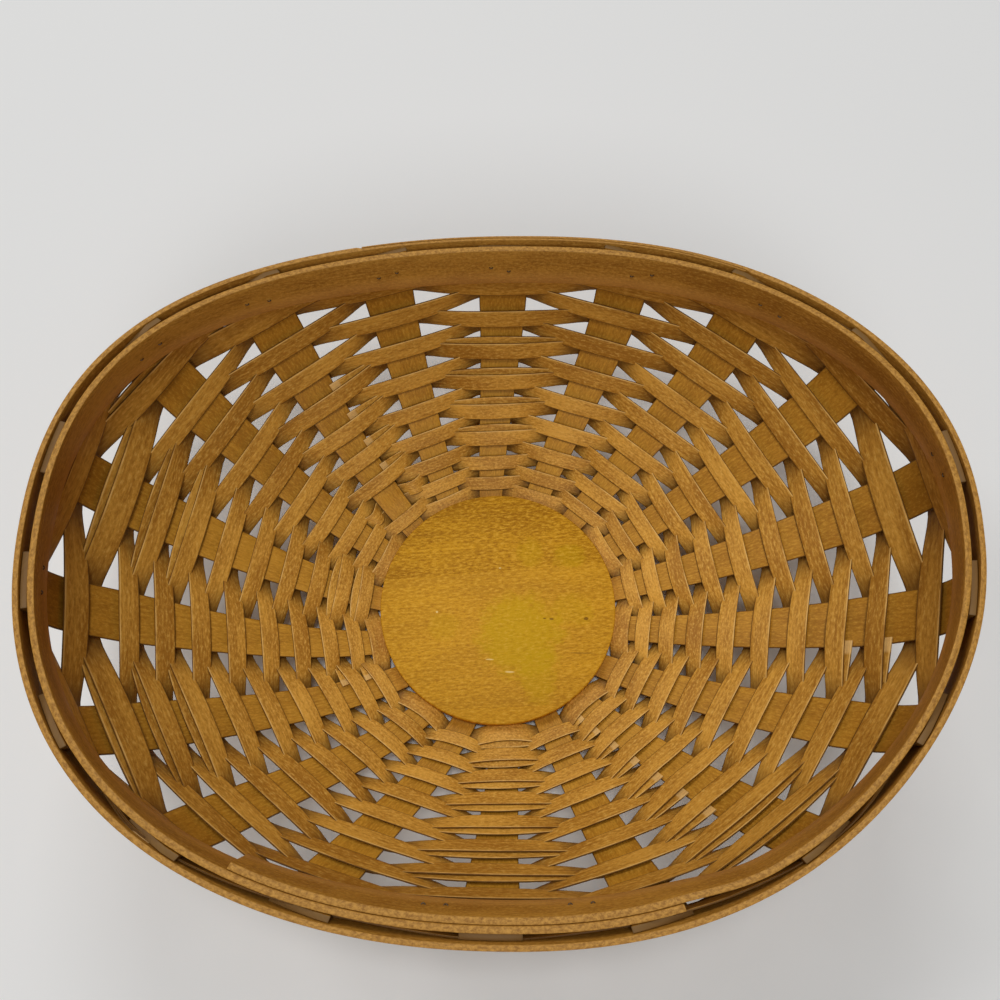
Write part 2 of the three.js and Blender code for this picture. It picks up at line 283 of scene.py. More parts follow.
def spoke_edge(index, side, distance):
    """Plan angle across a spoke, with side from -1 at one edge to 1 at the other."""
    angle = spoke_angle(index, distance)
    point = wall.point(angle, distance)
    radius = np.hypot(point[..., 0], point[..., 1])
    return angle + np.arcsin(side * spoke_width(distance) / 2 / radius)


# Row layout

def narrow_row_centre(row, angle):
    """Distance of a narrow row's centre line up from the board."""
    share = row / WEAVER_COUNT
    rise = sum(part * share ** (power + 1) for power, part in enumerate(ROW_RISE))
    for turns, cosine, sine, cosine_growth, sine_growth in ROW_WAVES:
        cosine_part = (cosine + cosine_growth * share) * np.cos(turns * angle)
        sine_part = (sine + sine_growth * share) * np.sin(turns * angle)
        rise = rise + share * (cosine_part + sine_part)
    turned = np.mod(angle - RIDE_UP_AT + np.pi, FULL_TURN) - np.pi
    ride = RIDE_UP * np.exp(-0.5 * np.abs(turned / RIDE_UP_SPREAD) ** 3)
    return rise + ride * np.sqrt(min(share / RIDE_UP_FROM, 1))


def row_centre(row, angle):
    """Distance of a row's centre line up from the board."""
    return row_span(row, angle)[0]


def row_span(row, angle):
    """A row's centre line and its width. The rows run level, so where the rim dips the last ones
    are squeezed under it."""
    if row == 1:
        upper_edge = narrow_row_centre(1, angle) + strip_width(1) / 2
        return (upper_edge - FIRST_ROW_TUCK) / 2, upper_edge + FIRST_ROW_TUCK
    if row <= NARROW_ROWS:
        return narrow_row_centre(row, angle), strip_width(row) * np.ones_like(angle)
    wide = strip_width(row)
    base = narrow_row_centre(NARROW_ROWS, angle) + strip_width(NARROW_ROWS) / 2
    space = wall.length(angle) - TOP_SPACE - base
    upper = np.clip((space - wide) / 2, LEAST_WIDTH, wide)
    lowest = np.minimum(wide, space - 2 * upper)
    if row == NARROW_ROWS + 1:
        return base + lowest / 2, lowest
    return base + lowest + upper * (row - NARROW_ROWS - 1.5), upper


def row_room(row, angle):
    """Height that a row has between its neighbours."""
    spaces = []
    if row > 1:
        spaces.append(row_centre(row, angle) - row_centre(row - 1, angle))
    if row < WEAVER_COUNT:
        spaces.append(row_centre(row + 1, angle) - row_centre(row, angle))
    return np.min(spaces, axis=0)


def strip_width(row):
    """Width of a row's strip, which is the same all the way round."""
    first, last, wide = STRIP_WIDTHS
    if row > NARROW_ROWS:
        return wide
    return first + (last - first) * ((row - 1) / (NARROW_ROWS - 1)) ** STRIP_WIDENING


def crossing(index, side, row):
    """Plan angle at which a spoke's edge or centre line meets a row's centre line."""
    distance = np.array(0.0)
    for _ in range(CROSSING_ROUNDS):
        angle = spoke_edge(index, side, distance)
        distance = row_centre(row, angle)
    return float(angle)


# Meshes

# Faces across a strip, and the least angle between two faces whose edge is eased
STRIPS_ACROSS = 4
EASED_ANGLE = np.radians(50)


def new_object(name, bm):
    mesh = bpy.data.meshes.new(name)
    bm.to_mesh(mesh)
    bm.free()
    for polygon in mesh.polygons:
        polygon.use_smooth = True
    piece = bpy.data.objects.new(name, mesh)
    bpy.context.scene.collection.objects.link(piece)
    return piece


def slab(name, stations, place, grain, weave_shade=None):
    """A closed slab of unit size, cut into faces and laid by a mapping.
    place takes arrays of shares along, across and through it and returns points in millimetres.
    grain takes the same shares and returns the lengths along and across the wood's fibres.
    The last mapping, if given, takes them too and returns how far a place is sunk in the weave, from 0
    to 1, which sets the painted shade where strips pass behind."""
    bm = bmesh.new()
    bmesh.ops.create_grid(bm, x_segments=stations, y_segments=STRIPS_ACROSS, size=0.5)
    made = bmesh.ops.extrude_face_region(bm, geom=bm.faces[:], use_keep_orig=True)["geom"]
    raised = [item for item in made if isinstance(item, bmesh.types.BMVert)]
    bmesh.ops.translate(bm, vec=(0, 0, 1), verts=raised)
    bmesh.ops.recalc_face_normals(bm, faces=bm.faces)
    bm.verts.ensure_lookup_table()
    unit = np.array([vert.co for vert in bm.verts]) + [0.5, 0.5, 0]
    shares = unit.transpose()
    points = place(*shares) * MILLIMETRE
    fibres = np.stack(grain(*shares), -1) * MILLIMETRE
    depths = weave_shade(*shares) if weave_shade else np.zeros(len(unit))
    along_layer = bm.verts.layers.float.new("along")
    across_layer = bm.verts.layers.float.new("across")
    weave_shade_layer = bm.verts.layers.float.new("weave_shade")
    for vert, point, share, depth in zip(bm.verts, points, unit, depths):
        vert.co = point
        vert[along_layer] = share[0]
        vert[across_layer] = share[1]
        vert[weave_shade_layer] = depth
    grain_layer = bm.loops.layers.uv.new("grain")
    for face in bm.faces:
        for loop in face.loops:
            loop[grain_layer].uv = fibres[loop.vert.index]
    if bm.calc_volume(signed=True) < 0:
        bmesh.ops.reverse_faces(bm, faces=bm.faces)
    return new_object(name, bm)


def spin_round(bm, geometry, steps):
    """Turns points and edges once round the upright axis."""
    bmesh.ops.spin(
        bm, geom=geometry, axis=(0, 0, 1), cent=(0, 0, 0),
        angle=FULL_TURN, steps=steps, use_merge=True)


def ease_edges(piece, width):
    """Rounds the long edges over."""
    bevel = piece.modifiers.new("eased edges", "BEVEL")
    bevel.width = width * MILLIMETRE
    bevel.segments = 2
    bevel.limit_method = "ANGLE"
    bevel.angle_limit = EASED_ANGLE
    bevel.harden_normals = False


def finish_piece(piece, slot, material, *nodes):
    piece.data.materials.append(material)
    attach(piece, "root")
    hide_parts(*nodes)


# Weavers

STATIONS_A_SPOKE = 16
WEAVER_EASE = 0.22
# A row starts hidden behind a spoke, goes all the way round and on under its own start. It ends at
# the edge of a spoke that it passes in front of, or hidden behind one.
# Spokes on which the rows end: last row, spoke of the odd rows, spoke of the even rows
LAPS = ((5, 17, 12), (13, 17, 8), (NARROW_ROWS, 1, 13), (WEAVER_COUNT, 10, 13))
LAP_SPOKES = {"in front": 3, "behind": 4}
# Place of a visible end on its spoke, from -1 at the first edge to 1 at the other
LAP_END = -0.75
# A row hangs straight between the spokes that it passes behind, so in front of a spoke it lies
# lower on the flared wall, by this share of the space between rows.
SAG = 0.55
# Distance by which a row stands off a spoke in front of it
BOW = 0.5
# The lowest rows lie tighter: distance up the wall at which they are free
TIGHT = 20
# Rows that slip behind one spoke more, by row and spoke
SLIPS = ((4, 8),)
# The lower edge of a straight strip has length to spare on a flared wall, so it turns outward.
FRONT_TILT = np.radians(4)
BACK_TILT = np.radians(20)
# The wide strips turn less, by this share
WIDE_TILT = 0.5
# Plan angle over which the bends beside a spoke are rounded
BEND = np.radians(1.3)
# Rise of the hidden one of two lapped layers above the other
LAYER_RISE = 4.0
# Space between two lapped layers, and plan angle over which they part
LAYER_CLEARANCE = 0.08
LAYER_BLEND = 0.12
# Small waves of a row up and down: how many, and the height of the first
WANDER_WAVES = 6
WANDER = 0.12
# Distance under the bands over which a row gets free of them, and space kept under the rim
BAND_FADE = 8
RIM_SPACE = 0.5
# Share of its freedom that a row keeps at the board
LEAST_SLACK = 0.1
# The wood's fibres are counted from the start of a strip and across it, with another part of the
# wood for each strip: width of a strip, distance to the next one's part and share of the depth
WEAVER_GRAIN = (10, 40, 3)


def lap_spoke(row):
    last, odd, even = next(lap for lap in LAPS if row <= lap[0])
    return (odd if row % 2 else even) - 1


def smooth(share):
    share = np.clip(share, 0, 1)
    return share * share * (3 - 2 * share)


class Weave:
    """How far a row has come through from behind the spokes, from 0 behind one to 1 in front."""

    samples = 2880

    def __init__(self, row):
        behind = [
            index for index in range(SPOKE_COUNT)
            if (index + row) % 2 == 0 or (row, index + 1) in SLIPS
        ]
        leave = np.unwrap([crossing(index, 1, row) for index in behind])
        reach = np.unwrap([crossing(index, -1, row) for index in behind])
        reach = np.append(reach[1:], reach[0] + FULL_TURN)
        self.angle = leave[0] + np.arange(self.samples) * FULL_TURN / self.samples
        share = np.zeros(self.samples)
        for first, last in zip(leave, reach):
            across = (2 * self.angle - first - last) / (last - first)
            share = np.maximum(share, 1 - across ** 2)
        width = BEND / FULL_TURN * self.samples
        steps = np.arange(-int(3 * width), int(3 * width) + 1)
        weight = np.exp(-0.5 * (steps / width) ** 2)
        padded = np.pad(share, len(steps), mode="wrap")
        share = np.convolve(padded, weight / weight.sum(), mode="same")
        self.share = share[len(steps):-len(steps)]

    def at(self, angle):
        turned = np.mod(angle - self.angle[0], FULL_TURN)
        return np.interp(turned, self.angle - self.angle[0], self.share, period=FULL_TURN)


def make_weaver(row, material):
    end_spoke = lap_spoke(row)
    hidden = (end_spoke + row) % 2 == 0
    back = (end_spoke - LAP_SPOKES["behind" if hidden else "in front"]) % SPOKE_COUNT
    end = crossing(end_spoke, 0 if hidden else LAP_END, row)
    start = end - np.mod(end - crossing(back, 0, row), FULL_TURN)
    lap = end - start
    turn = FULL_TURN + lap
    layer = WEAVER_THICKNESS + LAYER_CLEARANCE
    weave = Weave(row)
    phases = np.random.default_rng(row).uniform(0, FULL_TURN, WANDER_WAVES)

    def place(along, across, through):
        angle = start + along * turn
        front = weave.at(angle)
        length = wall.length(angle)
        law, width = row_span(row, angle)
        room = row_room(row, angle)
        free = smooth((length - BAND_WIDTH - law - room / 2) / BAND_FADE + 1)
        wander = sum(np.sin((3 + 4 * n) * angle + phase) / (1 + n) for n, phase in enumerate(phases))
        over = smooth((lap - along * turn) / LAYER_BLEND + 1)
        under = smooth((along * turn - FULL_TURN) / LAYER_BLEND + 1)
        rise = SAG * room * (1 - front) + LAYER_RISE * under * front
        centre = law + free * rise + WANDER * wander
        centre = np.minimum(centre, length - RIM_SPACE - width / 2)
        tilt = BACK_TILT + (FRONT_TILT - BACK_TILT) * front
        slack = free * np.clip(law / TIGHT, LEAST_SLACK, 1)
        tilt = tilt * slack * (WIDE_TILT if row > NARROW_ROWS else 1)
        bow = BOW * front * slack
        stand_off = WEAVE_OFFSET + np.sin(tilt) * width / 2 + bow
        shift = layer * (under * (front - 1) + over * front)
        offset = (2 * front - 1) * stand_off + shift
        depth = (through - 0.5) * WEAVER_THICKNESS
        sideways = (across - 0.5) * width
        up = sideways * np.cos(tilt) - depth * np.sin(tilt)
        inward = sideways * np.sin(tilt) + depth * np.cos(tilt)
        return wall.point(angle, centre + up, offset + inward)

    def grain(along, across, through):
        radius = (RIM_HALF_LENGTH + RIM_HALF_WIDTH) / 3
        wide, apart, deep = WEAVER_GRAIN
        return along * turn * radius, across * wide + apart * row + deep * through

    # How far a place is sunk in the weave; the material paints shade where the strip passes behind.
    def weave_shade(along, across, through):
        front = weave.at(start + along * turn)
        return through * (1 - front) + (1 - through) * front

    stations = round(STATIONS_A_SPOKE * SPOKE_COUNT * turn / FULL_TURN)
    piece = slab(f"weaver_strip_{row:02d}", stations, place, grain, weave_shade)
    ease_edges(piece, WEAVER_EASE)
    finish_piece(piece, "weaver", material, f"weaver_{row:02d}")


# Spokes

SPOKE_STATIONS = 120
SPOKE_EASE = 0.25
# How far a spoke gives way to the strips that cross it
SPOKE_GIVE = 0.15
# Distance over which a spoke goes from single to doubled
FOLD_BLEND = 4
SPOKE_GRAIN = (22, 60, 3)


def make_spoke(index, material):
    tail = SPOKE_TAIL_RADIUS - BOARD_RADIUS
    top = float(wall.length(SPOKE_AT_RIM[index])) - SPOKE_TRIM
    levels = [row_centre(row, SPOKE_AT_RIM[index]) for row in range(1, WEAVER_COUNT + 1)]
    signs = [1.0 if (index + row) % 2 else -1.0 for row in range(1, WEAVER_COUNT + 1)]

    def place(along, across, through):
        distance = tail + along * (top - tail)
        angle = spoke_edge(index, 2 * across - 1, distance)
        push = -SPOKE_GIVE * np.interp(distance, levels, signs, 0, 0) * smooth(distance / TIGHT)
        thickness = SPOKE_THICKNESS + SPOKE_FOLD * smooth((distance - top) / FOLD_BLEND + 2)
        return wall.point(angle, distance, push + (through - 0.5) * thickness)

    def grain(along, across, through):
        wide, apart, deep = SPOKE_GRAIN
        return tail + along * (top - tail), across * wide + apart * index + deep * through

    piece = slab(f"spoke_strip_{index + 1:02d}", SPOKE_STATIONS, place, grain)
    ease_edges(piece, SPOKE_EASE)
    finish_piece(piece, "spoke", material, f"spoke_{index + 1:02d}")


# Bands

BAND_STATIONS = 400
BAND_EASE = 0.4
BAND_GRAIN = (BAND_WIDTH, 80, 5)
# Turn in degrees over which the inner band comes down from its own lap
LAP_FALL = 14


def band(name, start, end, faces, number, material, node):
    """A bent band from one plan angle to another; faces gives the insets of its two faces."""
    turn = np.radians(end) + FULL_TURN - np.radians(start)

    def place(along, across, through):
        angle = np.radians(start) + along * turn
        outer, inner = faces(np.degrees(along * turn))
        t = rim_parameter(angle)
        return rim_point(t, outer + (inner - outer) * through, across * BAND_WIDTH)

    def grain(along, across, through):
        wide, apart, deep = BAND_GRAIN
        return along * turn * RIM_HALF_LENGTH, across * wide + apart * number + deep * through

    piece = slab(name, BAND_STATIONS, place, grain)
    ease_edges(piece, BAND_EASE)
    finish_piece(piece, "band", material, node)


def inner_faces(turned):
    """Insets of the inner band: it lies on itself at its start."""
    lap = INNER_LAP[1] - INNER_LAP[0]
    step = INNER_BAND_THICKNESS + LAP_CLEARANCE
    lifted = 1 - smooth((turned - lap + 1) / LAP_FALL)
    outer = INNER_BAND_INSET + step * lifted
    return outer, outer + INNER_BAND_THICKNESS


def outer_faces(turned):
    """Insets of the outer band: its two ends taper over the lap."""
    lap = OUTER_LAP[1] - OUTER_LAP[0]
    taper = OUTER_BAND_THICKNESS - 2 * SCARF_TIP - LAP_CLEARANCE
    start = 1 - np.clip(turned / lap, 0, 1)
    end = 1 - np.clip((turned - 360) / lap, 0, 1)
    under = (SCARF_TIP + LAP_CLEARANCE + taper * start) * np.sign(start)
    outer = np.where(turned <= lap, under, 0)
    inner = np.where(turned >= 360, SCARF_TIP + taper * end, OUTER_BAND_THICKNESS)
    return outer, inner


# Staples: their leg ends come through the inner band and are bent over
STAPLE_ANGLES = np.radians([11.4, 43.9, 65, 90.8, 111.8, 133.8, 150.9, 186.5, 261.5, 283.5])
STAPLE_SPAN = 9.5
STAPLE_DOWN = 11
# How far the legs stray up and down, and how deep they are sunk, as a share of the ring's radius
STAPLE_STRAY = 1.5
STAPLE_SUNK = 0.25
HOOK_RADIUS = 0.8
WIRE_RADIUS = 0.28


def wire_ring(bm):
    """Adds a small ring of wire round the origin and returns its points."""
    made = len(bm.verts)
    upright = Matrix.Rotation(np.pi / 2, 4, "X")
    section = bmesh.ops.create_circle(bm, segments=8, radius=WIRE_RADIUS, matrix=upright)["verts"]
    bmesh.ops.translate(bm, vec=(HOOK_RADIUS, 0, 0), verts=section)
    edges = list({edge for vert in section for edge in vert.link_edges})
    spin_round(bm, section + edges, 20)
    bm.verts.ensure_lookup_table()
    return bm.verts[made:]


def inner_face_inset(degrees):
    """Inset of the inner band's bare face at a plan angle."""
    first, last = INNER_LAP
    return inner_faces(0 if first <= degrees <= last else last)[1]


def make_staple_legs(material):
    """Small rings of wire, half sunk in the inner band, in pairs."""
    bm = bmesh.new()
    for number, angle in enumerate(STAPLE_ANGLES):
        face = inner_face_inset(np.degrees(angle))
        for side in (-1, 1):
            aside = side * STAPLE_SPAN / 2 / RIM_HALF_WIDTH
            t = rim_parameter(np.array([angle, angle + 0.01]) + aside)
            surface = rim_point(t, face, STAPLE_DOWN + STAPLE_STRAY * np.sin(3 * number + side))
            deeper = rim_point(t[:1], face + 1, STAPLE_DOWN) - rim_point(t[:1], face, STAPLE_DOWN)
            along = Vector(surface[1] - surface[0]).normalized()
            inward = Vector(deeper[0]).normalized()
            turn = Matrix((along, inward, along.cross(inward))).transposed().to_4x4()
            spot = Matrix.Translation(Vector(surface[0]) - inward * STAPLE_SUNK * HOOK_RADIUS)
            lay = Matrix.Scale(MILLIMETRE, 4) @ spot @ turn
            bmesh.ops.transform(bm, matrix=lay, verts=wire_ring(bm))
    bmesh.ops.recalc_face_normals(bm, faces=bm.faces)
    piece = new_object("staple_leg_ends", bm)
    piece.data.materials.append(material)
    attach(piece, "root")


# Boards

def turned_piece(name, profile, steps, slot, material, node):
    """A round piece from a profile of radius and height, in millimetres."""
    bm = bmesh.new()
    corners = [bm.verts.new((radius * MILLIMETRE, 0, height * MILLIMETRE)) for radius, height in profile]
    sides = [bm.edges.new(pair) for pair in zip(corners, corners[1:])]
    spin_round(bm, corners + sides, steps)
    bmesh.ops.remove_doubles(bm, verts=bm.verts, dist=1e-6)
    bmesh.ops.recalc_face_normals(bm, faces=bm.faces)
    piece = new_object(name, bm)
    finish_piece(piece, slot, material, node)
    return piece


# Materials

class Value:
    """A socket of a material that is used in Python expressions."""

    def __init__(self, recipe, socket):
        self.recipe = recipe
        self.socket = socket

    def maths(self, operation, first, second):
        return self.recipe.node("ShaderNodeMath", {"operation": operation}, {0: first, 1: second})

    def __add__(self, other):
        return self.maths("ADD", self, other)

    __radd__ = __add__

    def __sub__(self, other):
        return self.maths("SUBTRACT", self, other)

    def __rsub__(self, other):
        return self.maths("SUBTRACT", other, self)

    def __mul__(self, other):
        return self.maths("MULTIPLY", self, other)

    __rmul__ = __mul__

    def __truediv__(self, other):
        return self.maths("DIVIDE", self, other)


class Recipe:
    """The nodes of one material."""

    def __init__(self, name):
        self.material = bpy.data.materials.new(name)
        self.material.use_nodes = True
        self.tree = self.material.node_tree
        self.shader = self.tree.nodes["Principled BSDF"]

    def feed(self, socket, value):
        if isinstance(value, Value):
            self.tree.links.new(value.socket, socket)
        else:
            socket.default_value = value

    def node(self, kind, settings, inputs, output=0):
        """Adds a node with its settings and the values or links of its sockets."""
        node = self.tree.nodes.new(kind)
        for name, value in settings.items():
            setattr(node, name, value)
        for name, value in inputs.items():
            self.feed(node.inputs[name], value)
        return Value(self, node.outputs[output])

    def split(self, vector):
        return [self.node("ShaderNodeSeparateXYZ", {}, {"Vector": vector}, axis) for axis in range(3)]

    def vector(self, x, y, z=0.0):
        return self.node("ShaderNodeCombineXYZ", {}, {"X": x, "Y": y, "Z": z})

    def noise(self, vector, detail=2.0, roughness=0.5):
        inputs = {"Vector": vector, "Scale": 1.0, "Detail": detail, "Roughness": roughness}
        return self.node("ShaderNodeTexNoise", {}, inputs)

    def ramp(self, value, low, high):
        """Goes smoothly from 0 to 1 as a value goes from low to high."""
        settings = {"interpolation_type": "SMOOTHSTEP"}
        inputs = {"Value": value, "From Min": low, "From Max": high}
        return self.node("ShaderNodeMapRange", settings, inputs)

    def spot(self, x, y, place_x, place_y, half_width, half_depth, ragged):
        """Is 1 inside a ragged round spot and 0 outside it."""
        right = (x - place_x) / half_width
        up = (y - place_y) / half_depth
        return 1 - self.ramp(right * right + up * up + (ragged - 0.5) * 2.2, 0.35, 1.25)

    def mix(self, share, first, second):
        """Goes from one colour to another with a share."""
        return self.node("ShaderNodeMix", {"data_type": "RGBA"}, {0: share, 6: first, 7: second}, 2)

    def bump(self, height, strength, distance):
        inputs = {"Height": height, "Strength": strength, "Distance": distance * MILLIMETRE}
        return self.node("ShaderNodeBump", {}, inputs)

    def uv(self, name):
        return self.node("ShaderNodeUVMap", {"uv_map": name}, {})

    def attribute(self, name):
        return self.node("ShaderNodeAttribute", {"attribute_name": name}, {}, 2)

    def place(self):
        return self.node("ShaderNodeTexCoord", {}, {}, 3)


def colour(red, green, blue):
    """A colour from its sRGB values, 0 to 255."""
    parts = np.array([red, green, blue]) / 255
    linear = np.where(parts <= 0.04045, parts / 12.92, ((parts + 0.055) / 1.055) ** 2.4)
    return (*linear.tolist(), 1.0)


def splint_wood(name, dark, middle, light, roughness, edges):
    """Flat-cut strip wood: fine fibres and short flecks along the strip, slow changes of tone, and
    painted shade that darkens it towards the rim.
    edges takes the recipe, the colour of the faces and the share across the strip, and returns
    the colour with its edges on it."""
    recipe = Recipe(name)
    along, across, _ = recipe.split(recipe.uv("grain"))
    tone = recipe.noise(recipe.vector(along * 7, across * 25), 2.0)
    patch = recipe.noise(recipe.vector(along * 34, across * 90, 6.0), 2.0)
    streak = recipe.noise(recipe.vector(along * 60, across * 700), 2.0, 0.55)
    fibre = recipe.noise(recipe.vector(along * 420, across * 2800), 2.0, 0.6)
    mottle = recipe.noise(recipe.vector(along * 400, across * 900, 3.0), 3.0, 0.7)
    shade = recipe.ramp(tone * 0.26 + patch * 0.18 + streak * 0.18 + mottle * 0.38, 0.39, 0.61)
    body = recipe.mix(shade, dark, middle)
    flecks = recipe.ramp(mottle * 0.75 + fibre * 0.25, 0.52, 0.66)
    body = recipe.mix(flecks * 0.3, body, light)
    # Painted shade: the wood darkens with height towards the rim.
    height = recipe.split(recipe.place())[2] / MILLIMETRE
    body = recipe.mix(recipe.ramp(height, 0, RIM_HEIGHT) * 0.34, body, colour(100, 60, 22))
    body = edges(recipe, body, recipe.attribute("across"))
    recipe.feed(recipe.shader.inputs["Base Color"], body)
    recipe.feed(recipe.shader.inputs["Roughness"], roughness + 0.14 * (fibre - 0.5) + 0.06 * flecks)
    recipe.shader.inputs["Specular IOR Level"].default_value = 0.22
    relief = fibre * 0.6 + streak * 0.4 + flecks * 0.3
    recipe.feed(recipe.shader.inputs["Normal"], recipe.bump(relief, 0.3, 0.08))
    return recipe.material


def weaver_edges(recipe, body, across):
    """Painted shade where it sinks behind the next piece, a pale line along the upper edge that is
    partly wear and partly painted highlight, an olive edge face, a painted contact shadow along the
    lower edge and a fresh-cut end."""
    along, wide, _ = recipe.split(recipe.uv("grain"))
    patchy = recipe.ramp(recipe.noise(recipe.vector(along * 60, wide * 30, 4.0), 2.0), 0.35, 0.6)
    # Pale line along the upper edge: partly wear, partly painted highlight where the eased arris catches
    # the light.
    wear_and_highlight = recipe.ramp(across, 0.915, 0.945) * (1 - recipe.ramp(across, 0.97, 0.99)) * patchy
    # Painted shade where the strip sinks behind a spoke or the next strip.
    painted_crossing_shade = recipe.ramp(recipe.attribute("weave_shade"), 0.35, 1.0)
    body = recipe.mix(painted_crossing_shade * 0.68, body, colour(84, 48, 16))
    body = recipe.mix(wear_and_highlight * 0.8, body, colour(238, 194, 116))
    body = recipe.mix(recipe.ramp(across, 0.99, 0.999) * 0.8, body, colour(80, 52, 18))
    # Painted contact shadow along the lower edge.
    body = recipe.mix((1 - recipe.ramp(across, 0.01, 0.06)) * 0.85, body, colour(70, 42, 14))
    fresh_cut = recipe.ramp(recipe.attribute("along"), 0.994, 0.9955)
    return recipe.mix(fresh_cut * 0.5, body, colour(242, 200, 132))


def spoke_edges(recipe, body, across):
    """Painted shade as thin dark lines along both sides, and a grey top end."""
    # Painted shade: dark lines along the spoke's sides, where its edges fall in shade.
    side = 1 - recipe.ramp(across * (1 - across) * 4, 0.02, 0.13)
    body = recipe.mix(side * 0.75, body, colour(64, 36, 12))
    top = recipe.ramp(recipe.attribute("along"), 0.9985, 0.9995)
    return recipe.mix(top * 0.85, body, colour(116, 88, 52))


def band_edges(recipe, body, across):
    """A rough-sawn pale upper edge with coarse specks, and a paler lower third."""
    along, wide, _ = recipe.split(recipe.uv("grain"))
    grit = recipe.noise(recipe.vector(along * 420, wide * 420, 9.0), 3.0, 0.75)
    sawn = recipe.mix(recipe.ramp(grit, 0.3, 0.7), colour(150, 102, 38), colour(206, 152, 70))
    upper = 1 - recipe.ramp(across, 0.0, 0.01)
    body = recipe.mix(recipe.ramp(across, 0.5, 0.9) * 0.4, body, colour(210, 154, 84))
    return recipe.mix(upper, body, sawn)


# Board: its staves meet in two lines, given by their height at the middle and their slope
SEAMS = ((19.0, 0.107), (-55.0, 0.077))
# Yellow-green stains: place, half widths and strength
STAINS = (
    (12.0, -16.0, 24, 24, 0.75), (22.0, -38.0, 11, 15, 0.55), (17.1, 29.9, 8, 9, 0.4),
    (38.5, 28.6, 10, 7, 0.5), (-28.7, -12.0, 9, 8, 0.3), (40.0, -2.0, 12, 10, 0.35),
)
# Dark knocks and pale knocks: place and half widths
DARK_KNOCKS = (
    (28.9, -7.0, 1.3, 0.6), (25.2, -6.8, 0.9, 0.4), (47.5, -6.4, 1.3, 0.9), (45.0, -25.2, 7.5, 0.22),
)
PALE_KNOCKS = (
    (-32.8, -4.4, 0.7, 0.6), (0.7, 21.0, 0.8, 0.5), (-4.0, -29.6, 2.4, 0.4), (7.0, -36.0, 2.6, 0.5),
)


def board_wood(name):
    """Solid board: straight grain across the basket and tone steps between its staves. Stains and
    knocks are only on the upper face of the base board."""
    recipe = Recipe(name)
    x, y, z = recipe.split(recipe.place())
    right = x / MILLIMETRE
    far = y / MILLIMETRE
    across = y - 0.09 * x
    warp = recipe.noise(recipe.vector(x * 14, across * 30), 2.0)
    ring = recipe.noise(recipe.vector(x * 12, across * 420 + warp * 3.0), 3.0, 0.6)
    fibre = recipe.noise(recipe.vector(x * 260, across * 2300), 2.0, 0.6)
    cloud = recipe.noise(recipe.vector(x * 22, across * 45, 5.0), 3.0)
    coarse = recipe.noise(recipe.vector(x * 300, across * 900, 2.0), 3.0, 0.75)
    shade = recipe.ramp(ring * 0.18 + cloud * 0.22 + coarse * 0.6, 0.37, 0.63)
    body = recipe.mix(shade, colour(162, 108, 10), colour(216, 158, 28))
    far_seam, near_seam = SEAMS
    middle_stave = 1 - recipe.ramp(far - far_seam[1] * right, far_seam[0] - 0.5, far_seam[0] + 0.7)
    body = recipe.mix(middle_stave * 0.35, body, colour(222, 164, 42))
    near_stave = 1 - recipe.ramp(far - near_seam[1] * right, near_seam[0] - 0.5, near_seam[0] + 0.5)
    body = recipe.mix(near_stave * 0.25, body, colour(224, 162, 26))
    ragged = recipe.noise(recipe.vector(x * 130, y * 160, 7.0), 4.0, 0.7)
    upper_face = recipe.ramp(z / MILLIMETRE, FOOT_THICKNESS + 5, FOOT_THICKNESS + 6)
    for place_x, place_y, wide, deep, strength in STAINS:
        stain = recipe.spot(right, far, place_x, place_y, wide, deep, ragged) * strength
        body = recipe.mix(stain * upper_face, body, colour(202, 160, 0))
    body = recipe.mix(recipe.ramp(coarse, 0.5, 0.66) * 0.3, body, colour(240, 190, 84))
    body = recipe.mix((1 - recipe.ramp(coarse, 0.34, 0.48)) * 0.25, body, colour(150, 92, 6))
    for knock in DARK_KNOCKS:
        mark = recipe.spot(right, far, *knock, ragged) * upper_face
        body = recipe.mix(mark * 0.7, body, colour(96, 58, 14))
    for knock in PALE_KNOCKS:
        mark = recipe.spot(right, far, *knock, ragged) * upper_face
        body = recipe.mix(mark * 0.7, body, colour(248, 222, 150))
    recipe.feed(recipe.shader.inputs["Base Color"], body)
    recipe.feed(recipe.shader.inputs["Roughness"], 0.6 + 0.16 * (fibre - 0.5))
    recipe.shader.inputs["Specular IOR Level"].default_value = 0.15
    recipe.feed(recipe.shader.inputs["Normal"], recipe.bump(fibre * 0.5 + coarse * 0.5, 0.3, 0.08))
    return recipe.material


def steel_wire(name):
    recipe = Recipe(name)
    recipe.shader.inputs["Base Color"].default_value = colour(92, 78, 64)
    recipe.shader.inputs["Metallic"].default_value = 1.0
    recipe.shader.inputs["Roughness"].default_value = 0.4
    return recipe.material


def floor_paint():
    recipe = Recipe("floor_paint")
    recipe.shader.inputs["Base Color"].default_value = colour(240, 240, 239)
    recipe.shader.inputs["Roughness"].default_value = 0.9
    return recipe.material


# Pieces

weaver_wood = splint_wood(
    "weaver_wood", colour(170, 114, 34), colour(232, 172, 70), colour(252, 214, 124), 0.5, weaver_edges)
spoke_wood = splint_wood(
    "spoke_wood", colour(170, 114, 26), colour(210, 150, 46), colour(234, 182, 82), 0.5, spoke_edges)
band_wood = splint_wood(
    "band_wood", colour(164, 109, 32), colour(222, 162, 64), colour(242, 194, 104), 0.55, band_edges)
wire = steel_wire("staple_steel")
board = board_wood("board_wood")

for spoke in range(SPOKE_COUNT):
    make_spoke(spoke, spoke_wood)
for row in range(1, WEAVER_COUNT + 1):
    make_weaver(row, weaver_wood)
band("inner_band_strip", *INNER_LAP, inner_faces, 1, band_wood, "inner_band")
band("outer_band_strip", *OUTER_LAP, outer_faces, 2, band_wood, "outer_band")
make_staple_legs(wire)

